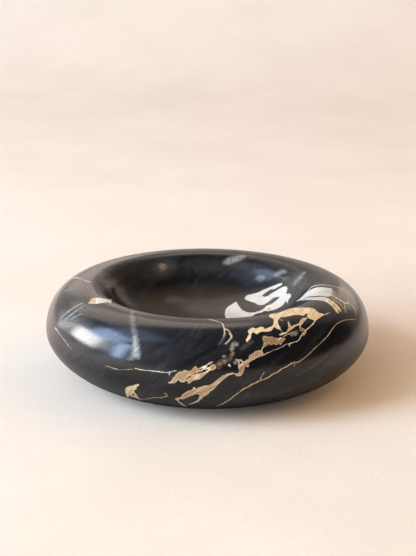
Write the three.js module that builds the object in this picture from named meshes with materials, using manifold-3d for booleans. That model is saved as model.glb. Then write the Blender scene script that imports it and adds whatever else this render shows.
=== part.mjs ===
// Marble ashtray: a thick ring-shaped bowl turned from one block of veined black marble.
// It stands on felt feet, each bonded by an adhesive film into a shallow seat in the flat underside.
// Millimetres, +Z up. The origin is on the turning axis, in the plane that the feet stand on.
import * as THREE from 'three';
import { mergeVertices } from 'three/addons/utils/BufferGeometryUtils.js';
import Module from 'manifold-3d';

const wasm = await Module();
wasm.setup();

// The turned stone. Heights are measured up from its flat underside.
const outerDiameter = 180;
const baseDiameter = 94; // the flat underside
const stoneHeight = 53; // underside to the crest of the rim
const bellyHeight = 27.5; // underside to the widest circle
const crownReach = 24.2; // radial distance from the widest circle in to the crest circle
const crownFullness = 2.2; // superellipse exponent of the rim's outer shoulder, 2 is a plain ellipse
const flankFullness = 1.75; // the same for the curve from the belly down to the base

// The well, cut down from the crest circle.
const lipRadius = 14; // rounding of the lip in section
const wallSlope = 58; // degrees from level, where the lip runs into the dish
const wellDepth = 26.5; // crest to the middle of the dished floor

// The felt feet and their seats.
const footCount = 4;
const firstFootAngle = 45; // degrees from +X
const footDiameter = 18;
const feltThickness = 2.4;
const filmThickness = 0.3;
const filmInset = 0.5; // radial, edge of the film inside the edge of the felt
const footProud = 1; // how far the felt stands out of the underside
const seatClearance = 0.3; // radial, felt to the wall of its seat
const seatEdgeMargin = 6; // stone left between a seat and the rounded edge of the base

// Facet counts.
const roundSegments = 80;
const quarterSteps = 10;
const footSegments = 32;

const outerRadius = outerDiameter / 2;
const crestRadius = outerRadius - crownReach;
const baseRadius = baseDiameter / 2;
const footRadius = footDiameter / 2;
const seatRadius = footRadius + seatClearance;
const seatDepth = feltThickness + filmThickness - footProud;
const footCircleRadius = baseRadius - seatEdgeMargin - seatRadius;
const undersideZ = footProud;

// The dish is part of an ellipse whose lowest point is the middle of the floor and which meets the lip at
// the wall's slope. That fixes both semi-axes, and the sine of the ellipse's own angle where they meet.
const plainEllipse = 2;
const wallAngle = THREE.MathUtils.degToRad(wallSlope);
const wallRadius = crestRadius - lipRadius * Math.sin(wallAngle);
const dishDepth = wellDepth - lipRadius * (1 - Math.cos(wallAngle));
const meetingSine = dishDepth / (wallRadius * Math.tan(wallAngle) - dishDepth);
const dishReach = wallRadius / Math.sqrt(1 - meetingSine ** 2);
const dishDrop = dishDepth / (1 - meetingSine);

const marble = new THREE.MeshStandardMaterial({ name: 'marble', color: 0x1b1a1a, roughness: 0.16 });
const felt = new THREE.MeshStandardMaterial({ name: 'felt', color: 0x23231f, roughness: 0.95 });
const adhesive = new THREE.MeshStandardMaterial({ name: 'adhesive', color: 0xd9d2bd, roughness: 0.4 });

// Up to a quarter of a superellipse in the profile plane, from a first angle off its radial semi-axis to the
// end of its vertical one. The semi-axes are signed, so that one function draws all four curves.
function quarter(centreRadius, centreZ, radialAxis, verticalAxis, fullness, firstAngle = 0) {
  const points = [];
  for (let step = 0; step <= quarterSteps; step++) {
    const angle = firstAngle + (step / quarterSteps) * (Math.PI / 2 - firstAngle);
    const radial = Math.max(Math.cos(angle), 0) ** (2 / fullness);
    const vertical = Math.sin(angle) ** (2 / fullness);
    points.push(new THREE.Vector2(centreRadius + radialAxis * radial, centreZ + verticalAxis * vertical));
  }
  return points;
}

// Half of the stone's section: up the flank and the crown, over the lip and down the well to the axis.
function stoneProfile() {
  const flankReach = outerRadius - baseRadius;
  const flank = quarter(baseRadius, bellyHeight, flankReach, -bellyHeight, flankFullness).reverse();
  const crown = quarter(crestRadius, bellyHeight, crownReach, stoneHeight - bellyHeight, crownFullness);
  const lipZ = stoneHeight - lipRadius;
  const lipStart = Math.PI / 2 - wallAngle;
  const lip = quarter(crestRadius, lipZ, -lipRadius, lipRadius, plainEllipse, lipStart).reverse();
  const dishZ = stoneHeight - wellDepth + dishDrop;
  const dish = quarter(0, dishZ, dishReach, -dishDrop, plainEllipse, Math.asin(meetingSine));
  const axisAtBase = new THREE.Vector2(0, 0);
  return [axisAtBase, ...flank, ...crown.slice(1), ...lip.slice(1), ...dish.slice(1)];
}

// A closed geometry as a solid: only positions kept, shared corners merged, collapsed faces dropped.
function toSolid(geometry) {
  const bare = new THREE.BufferGeometry().setAttribute('position', geometry.getAttribute('position'));
  bare.setIndex(geometry.getIndex());
  const merged = mergeVertices(bare, 1e-4);
  const corners = merged.getIndex().array;
  const kept = [];
  for (let i = 0; i < corners.length; i += 3) {
    const [a, b, c] = corners.subarray(i, i + 3);
    if (a !== b && b !== c && c !== a) kept.push(a, b, c);
  }
  const vertProperties = new Float32Array(merged.getAttribute('position').array);
  return new wasm.Manifold(new wasm.Mesh({ numProp: 3, vertProperties, triVerts: new Uint32Array(kept) }));
}

function toGeometry(solid) {
  const { vertProperties, triVerts } = solid.getMesh();
  const geometry = new THREE.BufferGeometry();
  geometry.setAttribute('position', new THREE.BufferAttribute(vertProperties, 3));
  geometry.setIndex(new THREE.BufferAttribute(triVerts, 1));
  geometry.computeVertexNormals();
  return geometry;
}

// An upright disc that stands on the given height.
function disc(radius, thickness, bottomZ) {
  const geometry = new THREE.CylinderGeometry(radius, radius, thickness, footSegments);
  return geometry.rotateX(Math.PI / 2).translate(0, 0, bottomZ + thickness / 2);
}

function footPlace(index) {
  const angle = THREE.MathUtils.degToRad(firstFootAngle + (index * 360) / footCount);
  return new THREE.Vector3(footCircleRadius * Math.cos(angle), footCircleRadius * Math.sin(angle), 0);
}

// The stone, turned from the profile, with a seat cut into its underside for each foot.
function marbleBowl() {
  const turned = new THREE.LatheGeometry(stoneProfile(), roundSegments).rotateX(Math.PI / 2);
  let stone = toSolid(turned.translate(0, 0, undersideZ));
  for (let index = 0; index < footCount; index++) {
    const { x, y } = footPlace(index);
    // The cutter starts in the plane that the feet stand on, so it passes clean through the underside.
    const cutter = disc(seatRadius, undersideZ + seatDepth, 0).translate(x, y, 0);
    stone = stone.subtract(toSolid(cutter));
  }
  const bowl = new THREE.Mesh(toGeometry(stone), marble);
  bowl.name = 'marble_bowl';
  return bowl;
}

// One foot: the felt disc, and the film between it and the roof of its seat.
function feltFoot(index) {
  const foot = new THREE.Group();
  foot.position.copy(footPlace(index));
  const pad = new THREE.Mesh(disc(footRadius, feltThickness, 0), felt);
  pad.name = `felt_foot_${index + 1}`;
  const film = new THREE.Mesh(disc(footRadius - filmInset, filmThickness, feltThickness), adhesive);
  film.name = `adhesive_film_${index + 1}`;
  foot.add(pad, film);
  return foot;
}

const ashtray = new THREE.Group();
ashtray.add(marbleBowl());
for (let index = 0; index < footCount; index++) ashtray.add(feltFoot(index));

export default ashtray;
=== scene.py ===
import math
import random

import bmesh
import bpy
import numpy as np
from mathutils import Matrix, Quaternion, Vector
from mathutils.bvhtree import BVHTree


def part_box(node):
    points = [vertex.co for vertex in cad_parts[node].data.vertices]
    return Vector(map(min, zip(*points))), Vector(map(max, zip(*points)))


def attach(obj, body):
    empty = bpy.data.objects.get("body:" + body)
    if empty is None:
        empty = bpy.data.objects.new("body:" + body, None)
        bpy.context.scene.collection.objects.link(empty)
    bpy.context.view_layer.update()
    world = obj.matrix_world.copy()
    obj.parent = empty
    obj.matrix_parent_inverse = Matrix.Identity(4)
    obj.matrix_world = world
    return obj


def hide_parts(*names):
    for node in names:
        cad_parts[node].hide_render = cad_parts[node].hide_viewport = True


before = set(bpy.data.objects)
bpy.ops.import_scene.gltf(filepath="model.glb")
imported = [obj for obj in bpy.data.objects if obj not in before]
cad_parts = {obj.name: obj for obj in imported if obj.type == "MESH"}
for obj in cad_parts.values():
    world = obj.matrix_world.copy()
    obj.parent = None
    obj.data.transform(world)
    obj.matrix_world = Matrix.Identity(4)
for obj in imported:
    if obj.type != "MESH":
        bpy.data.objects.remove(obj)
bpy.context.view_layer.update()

bowlLow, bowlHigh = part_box("marble_bowl")
footNames = sorted(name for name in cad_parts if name.startswith("felt_foot_"))
filmNames = sorted(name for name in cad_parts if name.startswith("adhesive_film_"))
print("stage: frame loaded,", len(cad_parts), "pieces")


# Node helpers
def addNode(tree, kind, inputs=None, **settings):
    node = tree.nodes.new(kind)
    for name, value in settings.items():
        setattr(node, name, value)
    for key, value in (inputs or {}).items():
        feed(tree, node.inputs[key], value)
    return node


def feed(tree, socket, value):
    if isinstance(value, bpy.types.NodeSocket):
        tree.links.new(value, socket)
    else:
        socket.default_value = value


def made(tree, kind, inputs=None, **settings):
    return addNode(tree, kind, inputs, **settings).outputs[0]


def calc(tree, operation, first, second=0.0, third=0.0):
    return made(tree, "ShaderNodeMath", {0: first, 1: second, 2: third}, operation=operation)


def times(tree, first, second):
    return calc(tree, "MULTIPLY", first, second)


def average(tree, first, second):
    return times(tree, calc(tree, "ADD", first, second), 0.5)


def greatest(tree, most, *others):
    for other in others:
        most = calc(tree, "MAXIMUM", most, other)
    return most


def rescale(tree, value, low, high, toLow=0.0, toHigh=1.0):
    ends = {"Value": value, "From Min": low, "From Max": high, "To Min": toLow, "To Max": toHigh}
    return addNode(tree, "ShaderNodeMapRange", ends, interpolation_type="SMOOTHSTEP").outputs["Result"]


def blendColour(tree, share, under, over, mode="MIX"):
    # the node has its colours at inputs 6 and 7 and at output 2
    mixer = addNode(tree, "ShaderNodeMix", {0: share, 6: under, 7: over}, data_type="RGBA", blend_type=mode)
    return mixer.outputs[2]


def grain(tree, place, scale, detail=3.0, roughness=0.55, distortion=0.0):
    return addNode(tree, "ShaderNodeTexNoise", {
        "Vector": place, "Scale": scale, "Detail": detail, "Roughness": roughness,
        "Distortion": distortion}).outputs["Fac"]


def addBump(tree, shader, height, strength, distance):
    bump = addNode(tree, "ShaderNodeBump", {"Height": height, "Strength": strength, "Distance": distance})
    feed(tree, shader.inputs["Normal"], bump.outputs["Normal"])


def setSockets(shader, values):
    for name, value in values.items():
        shader.inputs[name].default_value = value


def newMaterial(name):
    material = bpy.data.materials.new(name)
    material.use_nodes = True
    tree = material.node_tree
    shader = tree.nodes["Principled BSDF"]
    place = addNode(tree, "ShaderNodeTexCoord").outputs["Object"]
    return material, tree, shader, place


def addObject(name, data):
    added = bpy.data.objects.new(name, data)
    bpy.context.scene.collection.objects.link(added)
    return added


# Camera, fitted to the outline of the stone in the picture
view = {
    "imageSize": (416, 556),        # pixels
    "sightTo": (207.5, 327.5),      # pixel where the middle of the stone is seen
    "sightHeight": 0.0275,          # height of that middle
    "elevation": 18.75,             # degrees, of the line of sight to it
    "distance": 0.81,
    "pixelsPerRadius": 160.05,      # of the stone, at that distance
    "roll": 0.68,                   # degrees, the picture leans down to the right
    "sensor": 36.0,
}
perMetre = 1000                 # millimetres
stoneRadius = bowlHigh.y
focalPixels = view["pixelsPerRadius"] * view["distance"] / stoneRadius
pixelsPerMillimetre = view["pixelsPerRadius"] / stoneRadius / perMetre
imageWidth, imageHeight = view["imageSize"]


def pixelRay(x, y):
    # direction through a pixel, in the camera's own axes
    return Vector((x - imageWidth / 2, imageHeight / 2 - y, -focalPixels)).normalized()


def makeCamera():
    elevation = math.radians(view["elevation"])
    towards = Vector((0, -math.cos(elevation), math.sin(elevation)))
    lens = bpy.data.cameras.new("camera")
    lens.sensor_fit = "VERTICAL"
    lens.sensor_height = view["sensor"]
    lens.lens = focalPixels * view["sensor"] / imageHeight
    camera = addObject("camera", lens)
    straight = (-towards).to_track_quat("-Z", "Y")
    rolled = straight @ Quaternion((0, 0, 1), math.radians(view["roll"]))
    aside = pixelRay(*view["sightTo"]).rotation_difference(Vector((0, 0, -1)))
    camera.rotation_mode = "QUATERNION"
    camera.rotation_quaternion = rolled @ aside
    camera.location = Vector((0, 0, view["sightHeight"])) + towards * view["distance"]
    bpy.context.scene.camera = camera
    return camera


camera = makeCamera()
print("stage: camera at", [round(c, 3) for c in camera.location])


# Floor and backdrop in one seamless sweep of paper, lighter towards the back. A noise is given as scale,
# detail, roughness and distortion, and a range as two values and what they turn into.
sweep = {
    "front": -2.2, "wall": 1.5, "bend": 0.6, "top": 2.6, "halfWidth": 2.3, "bendSteps": 24,
    "nearPaper": (0.81, 0.705, 0.635, 1), "farPaper": (0.86, 0.745, 0.67, 1), "fleck": (0.93, 0.92, 0.91, 1),
    "depthRange": (-0.35, 0.45), "fleckRange": (0.36, 0.64, 1.0, 0.0),
    "cloud": (9.0, 4.0), "fibre": (420.0, 3.0, 0.7), "bump": (0.12, 0.0006),
    "dull": {"Roughness": 0.9, "Specular IOR Level": 0.2},
    # light that the view and the polish get from the far paper, and the polish alone from the floor at both
    # sides of the stone, as a number of backLifts
    "backLift": (0.11, 0.085, 0.075, 1), "floorRange": (0.05, 0.0),
    "windowSide": (-0.07, -0.25, 0.0, 11.0), "farSide": (0.08, 0.22, 0.0, 4.0),
}


def makeSweep():
    points = [(sweep["front"], 0.0)]
    for step in range(sweep["bendSteps"] + 1):
        turn = math.pi / 2 * step / sweep["bendSteps"]
        back, rise = 1 - math.sin(turn), 1 - math.cos(turn)
        points.append((sweep["wall"] - sweep["bend"] * back, sweep["bend"] * rise))
    points.append((sweep["wall"], sweep["top"]))
    sides = (-sweep["halfWidth"], sweep["halfWidth"])
    mesh = bpy.data.meshes.new("paper_sweep")
    mesh.from_pydata([(x, y, z) for y, z in points for x in sides], [],
                     [(2 * i, 2 * i + 1, 2 * i + 3, 2 * i + 2) for i in range(len(points) - 1)])
    mesh.shade_smooth()
    material, tree, shader, place = newMaterial("palePaper")
    side, depth, up = addNode(tree, "ShaderNodeSeparateXYZ", {0: place}).outputs
    far = rescale(tree, depth, *sweep["depthRange"])
    fibre = grain(tree, place, *sweep["fibre"])
    shade = rescale(tree, average(tree, fibre, grain(tree, place, *sweep["cloud"])), *sweep["fleckRange"])
    colour = blendColour(tree, far, sweep["nearPaper"], sweep["farPaper"])
    feed(tree, shader.inputs["Base Color"], blendColour(tree, shade, colour, sweep["fleck"], "MULTIPLY"))
    setSockets(shader, sweep["dull"])
    path = addNode(tree, "ShaderNodeLightPath").outputs
    seen = greatest(tree, path["Is Camera Ray"], path["Is Glossy Ray"])
    bySides = calc(tree, "ADD", rescale(tree, side, *sweep["windowSide"]),
                   rescale(tree, side, *sweep["farSide"]))
    onFloor = times(tree, rescale(tree, up, *sweep["floorRange"]), path["Is Glossy Ray"])
    shader.inputs["Emission Color"].default_value = sweep["backLift"]
    feed(tree, shader.inputs["Emission Strength"],
         calc(tree, "MULTIPLY_ADD", far, seen, times(tree, bySides, onFloor)))
    addBump(tree, shader, fibre, *sweep["bump"])
    mesh.materials.append(material)
    paper = addObject("paper_sweep", mesh)


# Lamps: azimuth, elevation, distance, size, colour and radiance. Azimuth 0 is towards the camera and -90 to
# its left. The size is width and height in degrees, as seen from the stone. The first lamps are only seen in
# the polish, and the others give the soft light.
polishLamps = {
    "windowPane": (-95.5, 18, 2.0, (25, 21), (1.0, 1.0, 1.0), 21.0),
    "windowSky": (-86, 39, 2.0, (26, 20), (0.45, 0.63, 1.0), 13.0),
    "windowStrip": (-63, 20, 2.0, (7, 30), (0.50, 0.69, 1.0), 25.0),
    "windowReveal": (-76, 18, 2.0, (9, 14), (0.76, 0.86, 1.0), 6.0),
    "windowTop": (-84, 60, 2.0, (32, 18), (0.45, 0.62, 1.0), 2.2),
    "windowCurtain": (-122, 14, 2.0, (26, 26), (1.0, 0.98, 0.97), 1.7),
    "backGlow": (-158, 43, 1.85, (44, 36), (1.0, 0.83, 0.73), 2.0),
    "backCorner": (-166, 17, 1.4, (20, 14), (1.0, 0.82, 0.70), 0.98),
    "backRight": (152, 15, 1.4, (22, 18), (1.0, 0.80, 0.66), 1.3),
}
softLamps = {
    "windowLight": (-64, 25, 2.0, (28, 36), (0.59, 0.81, 1.0), 13.0),
    "fillLeft": (-26, 36, 1.6, (60, 40), (1.0, 0.84, 0.63), 1.75),
    "fillRight": (80, 44, 1.6, (60, 40), (1.0, 0.57, 0.13), 1.10),
}
room = {
    "colour": (0.96, 0.97, 1.0, 1), "dim": 0.07, "byWindow": 0.90,
    "wallSide": (-0.05, -0.75), "wallFront": (0.35, 0.05),
    "ceilingRise": (0.45, 0.80), "ceilingBack": 0.8, "ceilingShine": (-0.6, 0.8, 0.12, 0.50),
}
wattsPerRadiance = 4.0          # for each square metre of a lamp


def makeLamp(name, inPolish, azimuth, elevation, distance, size, colour, radiance):
    azimuth, elevation = math.radians(azimuth), math.radians(elevation)
    towards = Vector((math.sin(azimuth) * math.cos(elevation),
                      -math.cos(azimuth) * math.cos(elevation), math.sin(elevation)))
    light = bpy.data.lights.new(name, "AREA")
    light.shape = "RECTANGLE"
    light.size, light.size_y = (2 * distance * math.tan(math.radians(angle / 2)) for angle in size)
    light.color = colour
    light.energy = radiance * wattsPerRadiance * light.size * light.size_y
    holder = addObject(name, light)
    holder.location = towards * distance
    holder.rotation_mode = "QUATERNION"
    holder.rotation_quaternion = (-towards).to_track_quat("-Z", "Y")
    holder.visible_glossy = inPolish
    holder.visible_diffuse = not inPolish
    holder.visible_camera = False


def makeRoom():
    # dim surroundings, with a paler wall by the window, from the left to the front left, and a ceiling that
    # only the polish sees, palest over the back left
    world = bpy.data.worlds.new("room")
    world.use_nodes = True
    tree = world.node_tree
    direction = addNode(tree, "ShaderNodeTexCoord").outputs["Generated"]
    way = addNode(tree, "ShaderNodeSeparateXYZ", {0: direction}).outputs
    wall = times(tree, rescale(tree, way["X"], *room["wallSide"]),
                 rescale(tree, way["Y"], *room["wallFront"]))
    backLeft = calc(tree, "MULTIPLY_ADD", way["Y"], room["ceilingBack"], times(tree, way["X"], -1.0))
    gloss = addNode(tree, "ShaderNodeLightPath").outputs["Is Glossy Ray"]
    ceiling = times(tree, times(tree, rescale(tree, way["Z"], *room["ceilingRise"]), gloss),
                    rescale(tree, backLeft, *room["ceilingShine"]))
    background = tree.nodes["Background"]
    background.inputs["Color"].default_value = room["colour"]
    feed(tree, background.inputs["Strength"],
         greatest(tree, times(tree, wall, room["byWindow"]), ceiling, room["dim"]))
    bpy.context.scene.world = world


makeSweep()
makeRoom()
for lamps in (polishLamps, softLamps):
    for lampName, lampRow in lamps.items():
        makeLamp(lampName, lamps is polishLamps, *lampRow)
bpy.context.scene.view_settings.view_transform = "Standard"
print("stage: sweep, room and", len(polishLamps) + len(softLamps), "lamps")


def settle(holder, tree, values):
    # runs a tree once on its holder and keeps the outcome as a plain mesh
    modifier = holder.modifiers.new(tree.name, "NODES")
    modifier.node_group = tree
    for item in tree.interface.items_tree:
        if item.item_type == "SOCKET" and item.in_out == "INPUT" and item.name in values:
            modifier[item.identifier] = values[item.name]
    graph = bpy.context.evaluated_depsgraph_get()
    mesh = bpy.data.meshes.new_from_object(holder.evaluated_get(graph))
    holder.modifiers.remove(modifier)
    holder.data = mesh
    mesh.name = holder.name
    return mesh


def sealed(mesh, sharpAngle):
    # turns every face outwards and reports edges that aren't shared by two faces
    shell = bmesh.new()
    shell.from_mesh(mesh)
    bmesh.ops.recalc_face_normals(shell, faces=shell.faces)
    openEdges = sum(1 for edge in shell.edges if not edge.is_manifold)
    shell.to_mesh(mesh)
    shell.free()
    mesh.set_sharp_from_angle(angle=math.radians(sharpAngle))
    return openEdges


# The turned stone. Its section is four curves: flank, crown, lip and dish.
bowl = {
    "baseRadius": 0.047, "bellyRise": 0.0275, "flankFullness": 1.75,
    "crownReach": 0.0242, "crownFullness": 2.2, "lipRadius": 0.014, "wallSlope": 58.0, "wellDepth": 0.0265,
    "columns": 370, "flankRows": 42, "crownRows": 40, "lipRows": 15, "dishRows": 36,
    "crowding": 0.66, "crowdingAngle": -66.0,   # columns stand closest at this angle from +X, in degrees
    "seatRadius": 0.0093, "seatDepth": 0.0017, "seatSteps": 64, "sharpAngle": 40.0,
    "seamDistance": 4e-6, "ringSeamDistance": 1e-6,     # corners closer than this are one
}
plainEllipse = 2.0
undersideHeight, crestHeight = bowlLow.z, bowlHigh.z
bellyHeight = undersideHeight + bowl["bellyRise"]
crestRadius = stoneRadius - bowl["crownReach"]
wallAngle = math.radians(bowl["wallSlope"])
wallRadius = crestRadius - bowl["lipRadius"] * math.sin(wallAngle)
# the dish is part of an ellipse that meets the lip at the wall's slope
dishDepth = bowl["wellDepth"] - bowl["lipRadius"] * (1 - math.cos(wallAngle))
meetingSine = dishDepth / (wallRadius * math.tan(wallAngle) - dishDepth)
dishReach = wallRadius / math.sqrt(1 - meetingSine ** 2)
dishDrop = dishDepth / (1 - meetingSine)
dishHeight = crestHeight - bowl["wellDepth"] + dishDrop
# centre radius and height, radial and vertical reach, fullness, first angle, rows
stoneCurves = {
    "Flank": (bowl["baseRadius"], bellyHeight, stoneRadius - bowl["baseRadius"], -bowl["bellyRise"],
              bowl["flankFullness"], 0.0, bowl["flankRows"]),
    "Crown": (crestRadius, bellyHeight, bowl["crownReach"], crestHeight - bellyHeight,
              bowl["crownFullness"], 0.0, bowl["crownRows"]),
    "Lip": (crestRadius, crestHeight - bowl["lipRadius"], -bowl["lipRadius"], bowl["lipRadius"],
            plainEllipse, math.pi / 2 - wallAngle, bowl["lipRows"]),
    "Dish": (0.0, dishHeight, dishReach, -dishDrop, plainEllipse, math.asin(meetingSine), bowl["dishRows"]),
}
curveInputs = ("Centre Radius", "Centre Height", "Radial Reach", "Vertical Reach", "Fullness", "First Angle",
               "Rows")


def newTree(name, output, **inputs):
    # a geometry tree and its inputs, which are given by kind
    tree = bpy.data.node_groups.new(name, "GeometryNodeTree")
    for kind, names in inputs.items():
        for socket in names:
            tree.interface.new_socket(name=socket, in_out="INPUT", socket_type="NodeSocket" + kind)
    tree.interface.new_socket(name=output, in_out="OUTPUT", socket_type="NodeSocketGeometry")
    return tree, addNode(tree, "NodeGroupInput").outputs


def placeOf(tree):
    return addNode(tree, "ShaderNodeSeparateXYZ", {0: made(tree, "GeometryNodeInputPosition")}).outputs


def crowdedAngle(tree, turn, given):
    squeeze = times(tree, calc(tree, "SINE", turn), given["Crowding"])
    return calc(tree, "ADD", calc(tree, "SUBTRACT", turn, squeeze), given["Crowding Angle"])


def onCircle(tree, radius, angle, height):
    return made(tree, "ShaderNodeCombineXYZ", {
        "X": times(tree, radius, calc(tree, "COSINE", angle)),
        "Y": times(tree, radius, calc(tree, "SINE", angle)), "Z": height})


def curveTree():
    # one curve of a section, up to a quarter of a superellipse, turned about the axis
    tree, given = newTree("turnedCurve", "Skin", Float=curveInputs[:-1] + ("Crowding", "Crowding Angle"),
                          Int=("Rows", "Columns"))
    sheet = made(tree, "GeometryNodeMeshGrid", {
        "Size X": 1.0, "Size Y": 1.0, "Vertices X": calc(tree, "ADD", given["Columns"], 1.0),
        "Vertices Y": calc(tree, "ADD", given["Rows"], 1.0)})
    flat = placeOf(tree)
    angle = crowdedAngle(tree, times(tree, flat["X"], math.tau), given)
    sweepSpan = calc(tree, "SUBTRACT", math.pi / 2, given["First Angle"])
    share = calc(tree, "ADD", flat["Y"], 0.5)
    sweepAngle = calc(tree, "MULTIPLY_ADD", share, sweepSpan, given["First Angle"])
    power = calc(tree, "DIVIDE", 2.0, given["Fullness"])
    radialShare = calc(tree, "POWER", calc(tree, "MAXIMUM", calc(tree, "COSINE", sweepAngle), 0.0), power)
    verticalShare = calc(tree, "POWER", calc(tree, "MAXIMUM", calc(tree, "SINE", sweepAngle), 0.0), power)
    radius = calc(tree, "MULTIPLY_ADD", given["Radial Reach"], radialShare, given["Centre Radius"])
    height = calc(tree, "MULTIPLY_ADD", given["Vertical Reach"], verticalShare, given["Centre Height"])
    skin = made(tree, "GeometryNodeSetPosition", {
        "Geometry": sheet, "Position": onCircle(tree, radius, angle, height)})
    addNode(tree, "NodeGroupOutput", {"Skin": skin})
    return tree


def joined(tree, *parts):
    joiner = addNode(tree, "GeometryNodeJoinGeometry")
    for part in parts:
        tree.links.new(part, joiner.inputs[0])
    return joiner.outputs[0]


def finished(tree, geometry, material, mergeDistance):
    whole = made(tree, "GeometryNodeMergeByDistance", {"Geometry": geometry, "Distance": mergeDistance})
    whole = made(tree, "GeometryNodeSetShadeSmooth", {"Geometry": whole})
    whole = made(tree, "GeometryNodeRealizeInstances", {0: whole})
    return made(tree, "GeometryNodeSetMaterial", {"Geometry": whole, "Material": material})


def atFeet(tree, given, shape):
    spread = made(tree, "GeometryNodeInstanceOnPoints", {"Points": given["Foot Places"], "Instance": shape})
    return made(tree, "GeometryNodeRealizeInstances", {0: spread})


def stoneTree(turnedCurve):
    sharedFloats = ["Crowding", "Crowding Angle", "Base Radius", "Underside Height", "Seat Radius",
                    "Seat Depth"]
    tree, given = newTree(
        "turnedStone", "Stone", Geometry=["Foot Places"],
        Float=[curve + " " + name for curve in stoneCurves for name in curveInputs[:-1]] + sharedFloats,
        Int=[curve + " Rows" for curve in stoneCurves] + ["Columns", "Seat Steps"], Material=["Marble"])
    shared = {name: given[name] for name in ("Columns", "Crowding", "Crowding Angle")}
    skins = []
    for curve in stoneCurves:
        own = {name: given[curve + " " + name] for name in curveInputs}
        skins.append(made(tree, "GeometryNodeGroup", {**own, **shared}, node_tree=turnedCurve))
    # the underside: a flat face inside the flank's lowest ring, with a round hole for each seat
    ring = made(tree, "GeometryNodeMeshLine", {"Count": calc(tree, "ADD", given["Columns"], 1.0)})
    index = made(tree, "GeometryNodeInputIndex")
    share = calc(tree, "SUBTRACT", calc(tree, "DIVIDE", index, given["Columns"]), 0.5)
    angle = crowdedAngle(tree, times(tree, share, math.tau), given)
    ring = made(tree, "GeometryNodeSetPosition", {
        "Geometry": ring, "Position": onCircle(tree, given["Base Radius"], angle, 0.0)})
    ring = made(tree, "GeometryNodeMergeByDistance", {"Geometry": ring, "Distance": bowl["ringSeamDistance"]})
    ring = made(tree, "GeometryNodeMeshToCurve", {0: ring})
    hole = made(tree, "GeometryNodeCurvePrimitiveCircle", {
        "Resolution": given["Seat Steps"], "Radius": given["Seat Radius"]})
    flat = made(tree, "GeometryNodeFillCurve", {0: joined(tree, ring, atFeet(tree, given, hole))})
    # each seat: its wall and roof, pushed up from a round face
    seat = made(tree, "GeometryNodeMeshCircle", {
        "Vertices": given["Seat Steps"], "Radius": given["Seat Radius"]}, fill_type="NGON")
    rise = made(tree, "ShaderNodeCombineXYZ", {"Z": given["Seat Depth"]})
    seat = made(tree, "GeometryNodeExtrudeMesh", {
        "Mesh": seat, "Offset": rise, "Offset Scale": 1.0, "Individual": False})
    lift = made(tree, "ShaderNodeCombineXYZ", {"Z": given["Underside Height"]})
    under = made(tree, "GeometryNodeTransform", {
        "Geometry": joined(tree, flat, atFeet(tree, given, seat)), "Translation": lift})
    whole = finished(tree, joined(tree, *skins, under), given["Marble"], bowl["seamDistance"])
    addNode(tree, "NodeGroupOutput", {"Stone": whole})
    return tree


def makeStone(marble):
    places = [(low + high) / 2 for low, high in map(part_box, footNames)]
    dots = bpy.data.meshes.new("marble_bowl_turned")
    dots.from_pydata([(place.x, place.y, 0) for place in places], [], [])
    stone = addObject("marble_bowl_turned", dots)
    sizes = {curve + " " + name: value for curve, values in stoneCurves.items()
             for name, value in zip(curveInputs, values)}
    mesh = settle(stone, stoneTree(curveTree()), {
        **sizes, "Crowding": bowl["crowding"], "Crowding Angle": math.radians(bowl["crowdingAngle"]),
        "Base Radius": bowl["baseRadius"], "Underside Height": undersideHeight,
        "Seat Radius": bowl["seatRadius"], "Seat Depth": bowl["seatDepth"], "Seat Steps": bowl["seatSteps"],
        "Columns": bowl["columns"], "Marble": marble})
    openEdges = sealed(mesh, bowl["sharpAngle"])
    print("stage: stone turned,", len(mesh.polygons), "faces,", openEdges, "open edges")
    return stone


marble, marbleTree, marbleShader, marblePlace = newMaterial("veinedMarble")
stone = makeStone(marble)


# Chart of the stone's skin: the angle round the axis, and the length along the section from the edge of the
# base over flank, crown and lip to the middle of the dish, in millimetres
def sectionCurve(steps=600):
    runs = []
    for name, curve in stoneCurves.items():
        centreRadius, centreHeight, radialReach, verticalReach, fullness, firstAngle = curve[:-1]
        sweepAngle = np.linspace(firstAngle, math.pi / 2, steps)
        radius = centreRadius + radialReach * np.maximum(np.cos(sweepAngle), 0) ** (2 / fullness)
        height = centreHeight + verticalReach * np.sin(sweepAngle) ** (2 / fullness)
        onwards = -1 if name in ("Flank", "Lip") else 1
        runs.append(np.c_[radius, height][::onwards][len(runs) > 0:])
    points = np.vstack(runs)
    lengths = np.r_[0, np.cumsum(np.hypot(*np.diff(points, axis=0).T))] * perMetre
    return points, lengths, np.cumsum([len(run) for run in runs]) - 1


sectionPoints, sectionLength, curveEnds = sectionCurve()
crestSection, wallSection = sectionLength[curveEnds[1]], sectionLength[curveEnds[2]]
sectionSlope = np.gradient(sectionPoints, sectionLength, axis=0)
sectionSlope /= np.hypot(*sectionSlope.T)[:, None]


ringDecimals = 6                # corners that agree to this are on one ring


def onSection(points):
    # nearest place on the section to each point: its row there, radius, height and the gap left
    radius = np.hypot(points[:, 0], points[:, 1])
    rings, ringOf = np.unique(np.round(np.c_[radius, points[:, 2]], ringDecimals), axis=0,
                               return_inverse=True)
    rows = []
    for ring in rings:
        nearest = int(np.argmin(((sectionPoints - ring) ** 2).sum(1)))
        low = min(max(nearest - 1, 0), len(sectionPoints) - 3)
        along = (ring - sectionPoints[nearest]) @ sectionSlope[nearest] * perMetre
        twoRows = sectionLength[low + 2] - sectionLength[low]
        rows.append(nearest + np.clip(2 * along / twoRows, -0.5, 0.5))
    row = np.clip(np.array(rows), 0, len(sectionPoints) - 1)[ringOf.ravel()]
    place = np.arange(len(sectionPoints))
    onRadius, onHeight = (np.interp(row, place, sectionPoints[:, axis]) for axis in (0, 1))
    return row, onRadius, onHeight, np.hypot(radius - onRadius, points[:, 2] - onHeight)


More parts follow.
